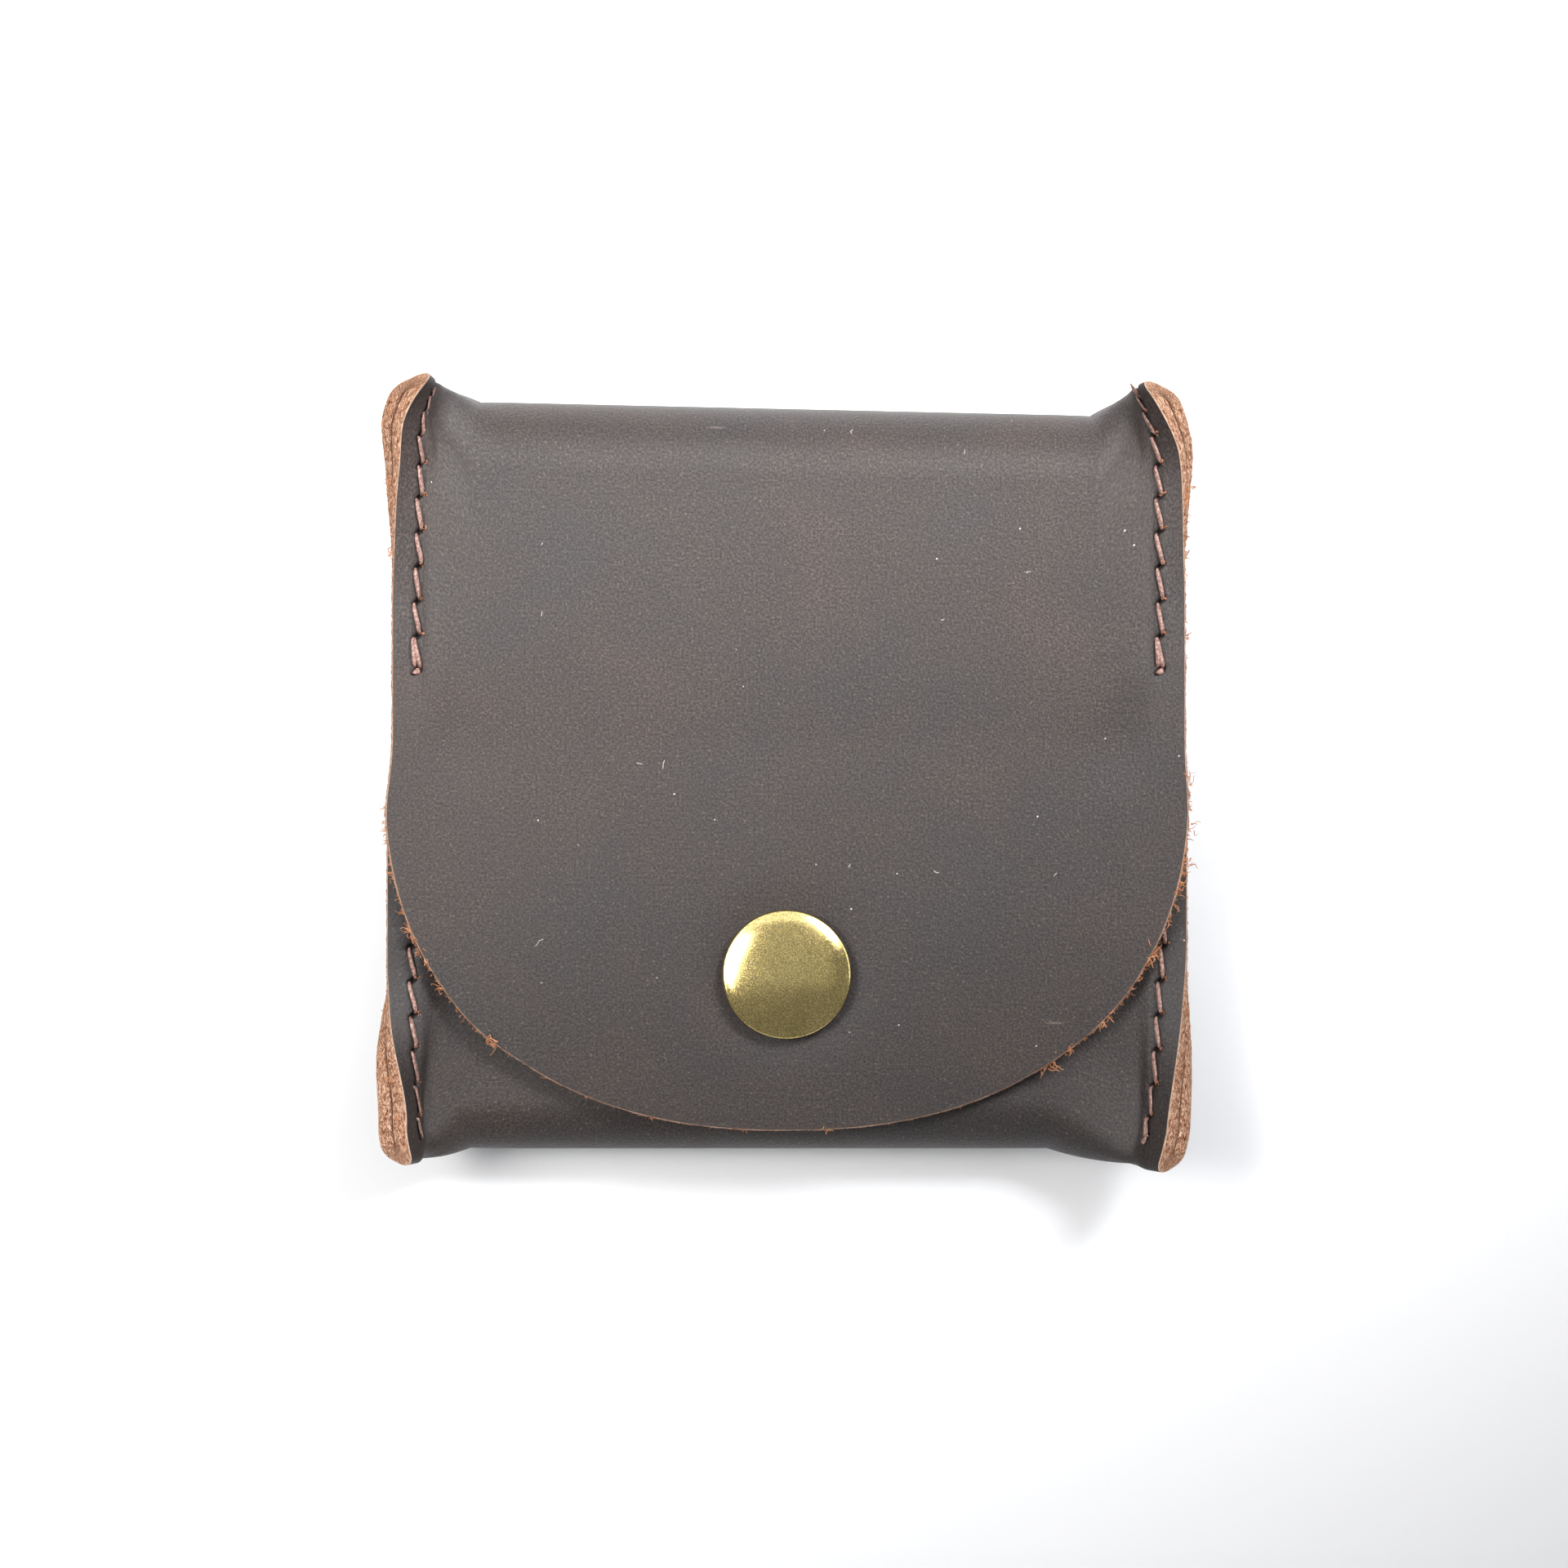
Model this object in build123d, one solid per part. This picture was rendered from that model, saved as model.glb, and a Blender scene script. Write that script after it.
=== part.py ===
from build123d import *
import math
import os

# Business card case: one strip of leather folded into a pillow-shaped pouch, sewn down both sides
# in two stretches, with a round flap closed by one press snap. Millimetres.
# +Z is up, away from the back panel the case lies on. +Y runs from the snap towards the top fold.

# Leather
leather = 1.8                   # thickness of the strip
case_height = 16.2              # back panel's outer face to the flap's outer face
pocket_height = 10.8            # back panel's outer face to the pocket panel's outer face
seam_z = 11.4                   # where the two layers meet in the side seams

# Plan of the pouch
flat_half = 26.0                # half width of the flat middle of each panel
seam_start = 43.0               # where the two layers first touch
half_width_top = 47.2           # half width at the top corners
half_width_waist = 46.3         # half width at the mouth
half_width_bottom = 47.8        # half width at the bottom corners
corner_radius = 4.2             # rounding of the four ears
top_fold_y = 42.8               # outer face of the top fold in the middle
bottom_fold_y = -43.7           # outer face of the bottom fold in the middle
ear_y = 46.4                    # tip of the ears, where the folds are pinched flat
ear_sharpness = 4.0             # how close to the seam an ear starts
bend_steps = [flat_half, 30.0, 34.0, 37.5, 40.0, 41.7]  # where the panels' curve is taken up, going outwards

# Mouth and hinge
hinge_y = 9.2                   # line where the flap starts
hinge_gap = 0.3                 # gap between the strip and the flap's rigid node
hinge_lift = 0.1                # hinge axis above the leather's outer face
pocket_edge_y = -0.7            # top edge of the pocket panel

# Flap
flap_half_width = 46.3          # half width of the flap's round end
flap_end_y = -41.4              # lowest point of the flap
flap_centre_y = -1.2            # where the straight sides turn into the round end
flap_power = 2.27               # squareness of the round end
flap_side_hinge = 13.5          # height of the flap's outer face at its sides, at the hinge
flap_ramp_y = 1.0               # where the sides have risen level with the middle

# Seam threads
thread_radius = 0.4
thread_core = 0.3               # radius of the thread inside a hole
hole_radius = 0.34
stitch_pitch = 3.94
stitch_slant = 0.16
seam_line_x = 44.3              # distance of the stitch line from the middle
seam_line_drift = 0.9           # how far it runs inwards at the corners
upper_stitches = 8
upper_stitch_y = 12.0
lower_stitches = 10
lower_stitch_y = -3.8

# Press snap
snap_y = -23.3
cap_radius = 7.5
cap_height = 2.1
shank_radius = 1.7
shank_hole = 1.75
socket_radius = 5.3
socket_lip = 3.4
socket_height = 2.9
stud_radius = 3.0
stud_flange = 4.8
stud_height = 2.5
sheet = 0.4                     # thickness of the brass


upper_holes = [upper_stitch_y + stitch_pitch * step for step in range(upper_stitches + 1)]
lower_holes = [lower_stitch_y - stitch_pitch * step for step in range(lower_stitches + 1)]


def fullness(x):
    """1 over the flat middle of a panel, falling to 0 where the two layers meet."""
    across = (abs(x) - flat_half) / (seam_start - flat_half)
    across = min(max(across, 0.0), 1.0)
    return math.cos(across * math.pi / 2)


def slot_section(x, low, high, bottom_y, top_y):
    """A closed section in the plane at x: two straight runs joined by two round folds."""
    radius = (high - low) / 2
    middle = (high + low) / 2
    right = top_y - radius
    left = bottom_y + radius
    lower = Line((x, left, low), (x, right, low))
    top = ThreePointArc((x, right, low), (x, top_y, middle), (x, right, high))
    upper = Line((x, right, high), (x, left, high))
    bottom = ThreePointArc((x, left, high), (x, bottom_y, middle), (x, left, low))
    return Wire([lower.edge(), top.edge(), upper.edge(), bottom.edge()])


def pillow_section(x, height, inset):
    """The pouch's section at x for one panel height, inset by the leather's thickness or by 0."""
    full = fullness(x)
    low = (seam_z - leather) * (1 - full) + inset
    high = seam_z + leather + (height - seam_z - leather) * full - inset
    spread = (1 - full) ** ear_sharpness
    top_y = top_fold_y + (ear_y - top_fold_y) * spread - inset
    bottom_y = bottom_fold_y + (-ear_y - bottom_fold_y) * spread + inset
    return slot_section(x, low, high, bottom_y, top_y)


def pillow(height, inset, end):
    """The pouch's filled shape out to x = end on both sides."""
    steps = bend_steps + [end]
    if inset == 0:
        steps = steps + [half_width_bottom + 1]
    steps = [-x for x in reversed(steps)] + steps
    return Part() + Solid.make_loft([pillow_section(x, height, inset) for x in steps], True)


def plan_outline():
    """The pouch's outline seen from the front: gently waisted sides and rounded ears."""
    right_side = ThreePointArc((half_width_bottom, -ear_y), (half_width_waist, 6), (half_width_top, ear_y))
    left_side = ThreePointArc((-half_width_top, ear_y), (-half_width_waist, 6), (-half_width_bottom, -ear_y))
    top = Line((half_width_top, ear_y), (-half_width_top, ear_y))
    bottom = Line((-half_width_bottom, -ear_y), (half_width_bottom, -ear_y))
    face = make_face([right_side.edge(), top.edge(), left_side.edge(), bottom.edge()])
    return fillet(face.vertices(), corner_radius)


def block(x0, x1, y0, y1, z0, z1):
    """A box between two corners."""
    return Pos((x0 + x1) / 2, (y0 + y1) / 2, (z0 + z1) / 2) * Box(x1 - x0, y1 - y0, z1 - z0)


def case_body():
    """The strip: pocket panel, bottom fold, back panel, top fold and upper front."""
    wide = 60.0
    inner_end = seam_start - 0.5
    upper_zone = block(-wide, wide, hinge_y + hinge_gap / 2, wide, -1, 30)
    lower_zone = block(-wide, wide, -wide, pocket_edge_y, -1, 30)
    back_zone = block(-wide, wide, pocket_edge_y, hinge_y + hinge_gap / 2, -1, 30)
    upper = (pillow(case_height, 0, seam_start) - pillow(case_height, leather, inner_end)) & upper_zone
    lower = (pillow(pocket_height, 0, seam_start) - pillow(pocket_height, leather, inner_end)) & lower_zone
    back = (pillow(case_height, 0, seam_start) & back_zone) - back_clearance()
    body = upper + back + lower
    body = body & extrude(plan_outline(), 30)
    body -= Pos(0, snap_y, pocket_height) * Cylinder(shank_hole, 3 * leather)
    for side in (-1, 1):
        for y in upper_holes + lower_holes:
            body -= Pos(side * seam_x(y), y, seam_z) * Cylinder(hole_radius, 4 * leather)
    return body


def back_clearance():
    """Everything above the back panel's inner face, from side to side."""
    steps = bend_steps + [seam_start, half_width_bottom + 3]
    steps = [-x for x in reversed(steps)] + steps
    lows = [(x, (seam_z - leather) * (1 - fullness(x)) + leather) for x in steps]
    points = [(x, 0, z) for x, z in lows] + [(half_width_bottom + 3, 0, 30), (-(half_width_bottom + 3), 0, 30)]
    profile = Wire([Line(a, b).edge() for a, b in zip(points, points[1:] + points[:1])])
    return extrude(Face(profile), 60, dir=(0, 1, 0), both=True)


def arch_section(y, side_height):
    """The flap's section in the plane at y: flat in the middle, bent down at its sides."""
    reach = half_width_bottom
    fall = case_height - side_height
    upper_middle = Line((-flat_half, y, case_height), (flat_half, y, case_height))
    right_end = (reach, y, case_height - fall)
    left_end = (-reach, y, case_height - fall)
    bend = (1, 0, -1.5 * fall / (reach - flat_half))
    right_up = Spline((flat_half, y, case_height), right_end, tangents=[(1, 0, 0), bend])
    left_up = Spline((-flat_half, y, case_height), left_end, tangents=[(-1, 0, 0), (-bend[0], 0, bend[2])])
    edges = [left_up.edge(), upper_middle.edge(), right_up.edge()]
    lower = [Pos(0, 0, -leather) * edge for edge in edges]
    sides = [Line(right_end, (reach, y, right_end[2] - leather)).edge()]
    sides.append(Line(left_end, (-reach, y, left_end[2] - leather)).edge())
    return Wire(edges + lower + sides)


def flap_outline():
    """The flap seen from the front: straight sides from the hinge, then a squarish round end."""
    depth = flap_centre_y - flap_end_y
    points = []
    for step in range(41):
        angle = math.pi * step / 40
        x = flap_half_width * math.copysign(abs(math.cos(angle)) ** (2 / flap_power), math.cos(angle))
        y = flap_centre_y - depth * abs(math.sin(angle)) ** (2 / flap_power)
        points.append((x, y))
    start = hinge_y - hinge_gap / 2
    round_end = Spline(*points, tangents=[(0, -1), (0, 1)])
    left_side = Line(points[-1], (-flap_half_width, start))
    top = Line((-flap_half_width, start), (flap_half_width, start))
    right_side = Line((flap_half_width, start), points[0])
    return make_face([round_end.edge(), left_side.edge(), top.edge(), right_side.edge()])


def flap():
    """The flap with its hole for the snap's shank."""
    start = hinge_y - hinge_gap / 2
    under = case_height - leather
    near = Solid.make_loft([arch_section(start, flap_side_hinge), arch_section(flap_ramp_y, case_height)], True)
    far = block(-60, 60, flap_end_y - 1, flap_ramp_y, under, case_height)
    shape = (near + far) & extrude(flap_outline(), 30)
    shape -= Pos(0, snap_y, case_height) * Cylinder(shank_hole, 3 * leather)
    return shape


def seam_x(y):
    """Distance of the stitch line from the middle at height y."""
    return seam_line_x - seam_line_drift * (abs(y) / ear_y) ** 3


def rod(start, end, radius):
    """A round rod between two points."""
    path = Line(start, end)
    return sweep(Plane(origin=start, z_dir=path % 0) * Circle(radius), path=path)


def seam_thread(side, holes):
    """One seam: slanted stitches on both faces and the thread through every hole."""
    front = seam_z + leather + thread_radius + 0.02
    back = seam_z - leather - thread_radius - 0.02
    shape = Part()
    direction = math.copysign(1, holes[1] - holes[0])
    for index, y in enumerate(holes):
        x = side * seam_x(y)
        shape += rod((x, y, back), (x, y, front), thread_core)
        if index < len(holes) - 1:
            next_y = holes[index + 1]
            next_x = side * seam_x(next_y)
            slant = stitch_slant * direction
            reach = 0.05 * direction
            for height in (front, back):
                shape += rod((x - slant, y - reach, height), (next_x + slant, next_y + reach, height), thread_radius)
    return shape


def turned(points):
    """A brass piece turned about the snap's axis from a closed outline of (radius, height) points."""
    outline = Polyline(*[(r, 0, z) for r, z in points], close=True)
    face = Face(Wire(outline.edges()))
    return Pos(0, snap_y, 0) * revolve(face, Axis.Z)


def snap_cap():
    """Domed cap with a rolled rim and a hollow shank clinched under the socket's plate."""
    base = case_height
    under = case_height - leather
    dome = [(cap_radius * math.sin(a), base + 0.5 + (cap_height - 0.5) * math.cos(a)) for a in
            [math.pi / 2 * step / 10 for step in range(1, 11)]]
    inner = [(r * 0.92, base + 0.5 + (z - base - 0.5) * 0.78) for r, z in reversed(dome[1:-1])]
    points = [(0, base + cap_height)] + dome
    points += [(cap_radius, base), (cap_radius - 0.9, base), (cap_radius - 0.9, base + 0.5)]
    points += inner
    points += [(shank_radius, base + 1.6), (shank_radius, under - sheet - 0.05), (2.6, under - sheet - 0.05)]
    points += [(2.6, under - 2 * sheet - 0.05), (0.9, under - 2 * sheet - 0.05), (0.9, base + 0.9), (0, base + 0.9)]
    return turned(points)


def snap_socket():
    """Open cup under the flap with a lip turned inwards to hold the spring."""
    top = case_height - leather
    low = top - socket_height
    points = [(shank_hole, top), (socket_radius - 0.3, top), (socket_radius, top - 0.3), (socket_radius, low + 0.3)]
    points += [(socket_radius - 0.3, low), (socket_lip, low), (socket_lip, low + sheet)]
    points += [(socket_radius - sheet - 0.3, low + sheet), (socket_radius - sheet, low + sheet + 0.3)]
    points += [(socket_radius - sheet, top - sheet - 0.2), (socket_radius - sheet - 0.2, top - sheet)]
    points += [(shank_hole, top - sheet)]
    return turned(points)


def snap_spring():
    """Ring of spring wire lying on the socket's lip."""
    wire = 0.35
    centre = socket_lip + 0.05 + wire
    height = case_height - leather - socket_height + sheet + wire + 0.05
    ring = Pos(0, snap_y, height) * Torus(centre, wire)
    slot = Pos(0, snap_y - centre, height) * Box(1.6, 3, 3)
    return ring - slot


def snap_stud():
    """Stud with a neck and a round head, standing on the pocket panel."""
    low = pocket_height
    high = low + stud_height
    bore = shank_hole
    points = [(bore, low), (stud_flange, low), (stud_flange, low + sheet), (2.7, low + sheet), (2.45, low + 0.9)]
    points += [(2.75, low + 1.3), (stud_radius, low + 1.7), (2.85, high - 0.3), (2.4, high), (bore + 0.3, high)]
    points += [(bore, high - 0.3)]
    return turned(points)


def snap_post():
    """Eyelet post: a flange inside the pocket and a barrel up into the stud."""
    under = pocket_height - leather
    high = pocket_height + stud_height - 0.4
    points = [(1.2, under - sheet), (4.6, under - sheet), (4.8, under - 0.2), (4.8, under), (shank_radius, under)]
    points += [(shank_radius, high), (1.2, high)]
    return turned(points)


pieces = {
    "case_body": case_body(),
    "flap": flap(),
    "seam_thread_upper_left": seam_thread(-1, upper_holes),
    "seam_thread_upper_right": seam_thread(1, upper_holes),
    "seam_thread_lower_left": seam_thread(-1, lower_holes),
    "seam_thread_lower_right": seam_thread(1, lower_holes),
    "snap_cap": snap_cap(),
    "snap_socket": snap_socket(),
    "snap_spring": snap_spring(),
    "snap_stud": snap_stud(),
    "snap_post": snap_post(),
}

os.makedirs("parts", exist_ok=True)
for name, shape in pieces.items():
    export_step(shape, "parts/" + name + ".step")
    box = shape.bounding_box()
    print(name, round(shape.volume, 1), len(shape.solids()), [round(v, 2) for v in (*box.min, *box.max)])
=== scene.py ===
import math

import bpy
import numpy as np
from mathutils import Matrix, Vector


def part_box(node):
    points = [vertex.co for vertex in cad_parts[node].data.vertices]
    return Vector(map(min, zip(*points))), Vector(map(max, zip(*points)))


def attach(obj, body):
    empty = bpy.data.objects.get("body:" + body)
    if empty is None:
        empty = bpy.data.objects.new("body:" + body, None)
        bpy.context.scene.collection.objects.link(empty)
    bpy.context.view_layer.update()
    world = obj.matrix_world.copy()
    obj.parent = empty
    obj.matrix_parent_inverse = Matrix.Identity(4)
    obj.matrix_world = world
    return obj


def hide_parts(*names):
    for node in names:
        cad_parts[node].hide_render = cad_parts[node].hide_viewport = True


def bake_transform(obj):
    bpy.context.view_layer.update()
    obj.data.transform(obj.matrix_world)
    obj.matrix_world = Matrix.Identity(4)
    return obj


# Business card case. Everything is worked out in millimetres in the shared frame and written in metres.
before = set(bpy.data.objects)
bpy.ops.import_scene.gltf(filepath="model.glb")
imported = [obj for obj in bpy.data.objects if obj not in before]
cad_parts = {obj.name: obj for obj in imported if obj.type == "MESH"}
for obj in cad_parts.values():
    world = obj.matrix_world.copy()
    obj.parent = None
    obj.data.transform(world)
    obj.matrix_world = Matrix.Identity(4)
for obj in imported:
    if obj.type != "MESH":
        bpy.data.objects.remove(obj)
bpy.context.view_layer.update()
rng = np.random.default_rng(7)
MM = 0.001


def box_mm(node):
    """Lowest and highest corner of a CAD node, in millimetres."""
    low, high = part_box(node)
    return np.array(low) / MM, np.array(high) / MM


flap_low, flap_high = box_mm("flap")
cap_low, cap_high = box_mm("snap_cap")
stud_low, stud_high = box_mm("snap_stud")
socket_low, socket_high = box_mm("snap_socket")
spring_low, spring_high = box_mm("snap_spring")
thread_low, thread_high = box_mm("seam_thread_upper_left")

leather = 1.8
half = leather / 2
layer_gap = 0.14                        # between the two layers at the seams
crown = flap_high[2]                    # top of the upper front
seam_z = (thread_low[2] + thread_high[2]) / 2
front_base = seam_z + half + layer_gap / 2      # middle of the front layer at the seams
back_base = seam_z - half - layer_gap / 2       # middle of the back layer at the seams
snap_x = (cap_low[0] + cap_high[0]) / 2
snap_y = (cap_low[1] + cap_high[1]) / 2
pocket_dip = 1.4                        # how far the snap draws the pocket panel down
pocket_fold = stud_low[2] + pocket_dip  # pocket panel's height along the bottom fold
pocket_edge = -0.7                      # upper edge of the pocket panel
join_x = 42.8                           # where the two layers meet at the seams
edge_x = 46.3                           # cut edge of the strip
stitch_x = 43.5                         # stitch line before the flanges curl
stitch_pitch = 4.03
curl_x = 41.2                           # line that the flanges curl about, before the corners move it
ear_top = 44.45                         # top fold at the cut edge
ear_bottom = -44.65                     # bottom fold at the cut edge
fold_y = 34.0                           # where the upper front starts to turn into the top fold
fold_fade = 9.0                         # length over which a fold's section turns into a panel's
upper_rise = 2.6                        # how much higher the upper seams lie than the lower ones
split_y = 13.6                          # where the strip's mesh hands over to the flap's
flap_centre_y = -1.2                    # widest line of the flap's round end
flap_power = 2.27                       # the round end is a superellipse with this power
rim_width = 0.35                        # worn band of the grain along a cut edge


def ease(t):
    """0 to 1 with flat ends."""
    t = np.clip(t, 0.0, 1.0)
    return t * t * (3 - 2 * t)


def swell(x, power):
    """1 in the middle of a panel, 0 where the layers meet, with a soft foot."""
    return ease(1 - np.clip(np.abs(x) / join_x, 0, 1) ** power)


def fold_swell(x, outer, inner, power):
    """Like swell, but along a fold: 0 near the cut edge, where it is a tight hairpin, 1 inside inner."""
    return np.clip((outer - np.abs(x)) / (outer - inner), 0, 1) ** power


def flange_angle(y, side):
    """How far the side flanges curl forward, in radians: none at the mouth, most at the ears."""
    top = np.clip((y - 20) / 26, 0, 1.1) ** 1.5 * math.radians(68)
    tip = np.clip((y - 38) / 8, 0, 1.1) ** 2 * math.radians(15)
    bottom_left = ease((-y - 22) / 18.5) * math.radians(68)
    bottom_right = ease((-y - 18) / 26) * math.radians(54)
    share = np.where(side > 0, 0.82 + 0.14 * ease((y - 34) / 8), 1.0)
    return (top + tip) * share + np.where(side < 0, bottom_left, bottom_right)


def flange_root(y, side):
    """Distance from the middle of the line the flange curls about."""
    left_tip = 1.3 * np.clip((y - 40) / 6, 0, 1.3) ** 1.6
    right_tip = 1.95 * np.clip((y - 37) / 8.5, 0, 1.2) ** 1.5
    top = 0.85 * ease((y - 24) / 17) + np.where(side < 0, 0.6 * ease((y - 35) / 7) - left_tip, -right_tip)
    flare = np.where(side < 0, 2.2, 0.7)
    low_tip = np.clip((-y - 41.0) / 5.0, 0, 1.2) ** 1.6
    bottom = np.where(side < 0, 0.85, 0.45) * ease((4 - y) / 10)
    bottom = bottom + flare * ease((-y - 24) / 16) - 1.3 * low_tip
    return np.where(side < 0, 40.65, 41.15) + top + bottom


def side_lift(y):
    """How much higher the upper seams lie than the lower ones."""
    return upper_rise * ease((y + 4) / 16)


def settle(points):
    """Bends flat-seamed points into the finished pouch: flanges curl forward, ears lift at the corners."""
    x, y, z = points[..., 0].copy(), points[..., 1], points[..., 2].copy()
    side = np.where(x < 0, -1.0, 1.0)
    height = np.clip(z - seam_z, -1.9, 1.9)
    skew = 0.5 * ease((y - 36) / 8) - 0.4 * ease((-y - 36) / 8)
    y = y + skew * np.clip(height, -0.6, 1.9) * ease((np.abs(x) - 32) / 10)
    root = flange_root(y, side)
    reach = np.abs(x)
    shift = root - curl_x
    reach = reach + shift * ease((reach - 30) / 11)
    angle = flange_angle(y, side)
    soft_in, soft_out = 1.2 + 0.9 * angle, 1.6 + 1.4 * ease((y - 38) / 6)
    u = np.clip((reach - root + soft_in) / (soft_in + soft_out), 0, None)
    v = np.clip(u, 0, 1)
    turn = angle * ease(v)
    span = soft_in + soft_out
    # centre line of the curl: the smooth turn is summed in short slices
    along = np.zeros_like(reach)
    rise = np.zeros_like(reach)
    slices = 12
    for step in range(slices):
        part = angle * ease(v * (step + 0.5) / slices)
        along = along + np.cos(part) * v * span / slices
        rise = rise + np.sin(part) * v * span / slices
    beyond = np.clip(u - 1, 0, None) * span
    along = along + np.cos(angle) * beyond
    rise = rise + np.sin(angle) * beyond
    curled = root - soft_in + along - height * np.sin(turn)
    new_reach = np.where(u > 0, curled, reach)
    new_z = np.where(u > 0, z + rise + height * (np.cos(turn) - 1), z)
    lift = 3.2 * np.clip((y - 33) / 13, 0, 1.2) ** 2 + 2.6 * np.clip((-y - 36) / 10, 0, 1.2) ** 2
    new_z = new_z + lift * ease((np.abs(x) - 33) / 9.5) + side_lift(y) * (1 - swell(x, 12))
    return np.stack([side * new_reach, y, new_z], axis=-1)


def columns():
    """Distances across the strip, closer together near the seams."""
    parts = [np.arange(0, 30, 1.5), np.arange(30, 34, 0.8), np.arange(34, 42.6, 0.4)]
    parts += [np.arange(42.6, 44.4, 0.12), np.linspace(44.4, edge_x, 8)]
    right = np.concatenate(parts)
    return np.concatenate([-right[:0:-1], right])


def belly(y):
    """Slight fullness of the upper front."""
    return 0.45 * (1 - ((y - 24) / 20) ** 2)


def front_height(y, w):
    """Middle of the leather's thickness over the upper front, for a fullness w from 0 to 1."""
    return front_base + (crown - half - front_base + belly(y)) * w


def flap_height(x, y):
    """Middle of the leather's thickness over the flap."""
    free = ease((12.6 - y) / 17.0)
    side = front_base + upper_rise - side_lift(y)
    top = crown - half + np.where(y > 4, belly(y), belly(4.0))
    shape = side + (top - side) * swell(x, 12 - 8.5 * free)
    droop = 1.5 * np.clip((-y - 14) / 27, 0, 1.1) ** 2
    around = np.hypot(x - snap_x, y - snap_y)
    press = 0.4 * np.exp(-((around / 9.4) ** 6)) + 0.35 * np.exp(-((around / 17.0) ** 2))
    return shape - droop - press


def run_along(line):
    """Distance along a line of points, for each point."""
    return np.concatenate([[0], np.cumsum(np.linalg.norm(np.diff(line, axis=0), axis=1))])


def strip_middle(x):
    """Rows of the strip's middle surface, pocket's edge to split, and how far along the strip each one is."""
    flat = swell(x, 12)
    w_top = fold_swell(x, 43.3, 36.0, 1.25)
    w_low = fold_swell(x, 43.8, np.where(x < 0, 36.5, 31.0), 1.1)

    def back_height(w):
        return back_base * (1 - w) + half * w

    def pocket_height(w):
        return front_base + (pocket_fold - half - front_base) * w

    r_top = (front_height(fold_y, w_top) - back_height(w_top)) / 2
    r_low = (pocket_height(w_low) - back_height(w_low)) / 2
    slope_in = np.clip(edge_x - np.abs(x), 0, 5)
    top_end = ear_top - 0.0095 * x - 0.013 * x * w_top - 0.06 * slope_in - 0.31 * (r_top - half)
    top_end = top_end + w_top * (1 - w_top)
    low_end = ear_bottom - 0.009 * x * (1 - w_low) + 0.03 * slope_in + 0.25 * (r_low - half)
    low_end = low_end - 2.4 * w_low * (1 - w_low)
    y0 = low_end + r_low
    y1 = top_end - r_top
    rows = []
    for t in np.linspace(0, 1, 250):
        y = pocket_edge + (y0 - pocket_edge) * t
        w = w_low + (flat - w_low) * ease((y - y0) / fold_fade)
        dip = pocket_dip * np.exp(-((x - snap_x) / 19) ** 2 - ((y - snap_y) / 12) ** 2)
        rows.append(np.stack([x, y, pocket_height(w) - dip * w * ease((y - y0) / 6)], axis=-1))
    middle = (pocket_height(w_low) + back_height(w_low)) / 2
    for a in np.linspace(0, math.pi, 30)[1:]:
        rows.append(np.stack([x, y0 - r_low * math.sin(a), middle + r_low * math.cos(a)], axis=-1))
    for t in np.linspace(0, 1, 260)[1:]:
        y = y0 + (y1 - y0) * t
        near_low = 1 - ease((y - y0) / fold_fade)
        near_top = 1 - ease((y1 - y) / fold_fade)
        w = flat + (w_low - flat) * near_low + (w_top - flat) * near_top
        rows.append(np.stack([x, y, back_height(w)], axis=-1))
    middle = (front_height(fold_y, w_top) + back_height(w_top)) / 2
    for a in np.linspace(math.pi, 0, 36)[1:]:
        rows.append(np.stack([x, y1 + r_top * math.sin(a), middle + r_top * math.cos(a)], axis=-1))
    for t in np.linspace(0, 1, 180)[1:]:
        y = y1 + (split_y - y1) * t
        w = w_top + (flat - w_top) * ease((y1 - y) / fold_fade)
        level = fold_y + (y - fold_y) * min(1.0, 3 * t)
        rows.append(np.stack([x, y, front_height(level, w)], axis=-1))
    points = np.array(rows)
    return points, run_along(points[:, len(x) // 2])


def normals_of(points):
    """Unit normals of a grid of points, pointing to the leather's grain side."""
    along = np.gradient(points, axis=0)
    across = np.gradient(points, axis=1)
    n = np.cross(across, along)
    length = np.linalg.norm(n, axis=-1, keepdims=True)
    return -n / np.maximum(length, 1e-9)


def stitch_rows(first, way, count, crowd_from, crowd):
    """Places of a seam's stitch holes. They crowd together near the ear, where the leather leans forward."""
    step = np.arange(count)
    squeeze = crowd * np.clip(step - crowd_from, 0, None) ** 2.1
    return first + way * (stitch_pitch * step - squeeze)


upper_holes = stitch_rows(12.0, 1, 11, 5, 0.296)
lower_holes = stitch_rows(-4.0, -1, 11, 8, 0.56)


def stitch_line(y, side):
    """Distance of the stitches from the middle: they drift inwards at the ears."""
    top = np.where(side < 0, 1.2, 0.3) * ease((y - 38) / 6)
    return stitch_x - top - 0.8 * ease((-y - 35) / 8)


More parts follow.
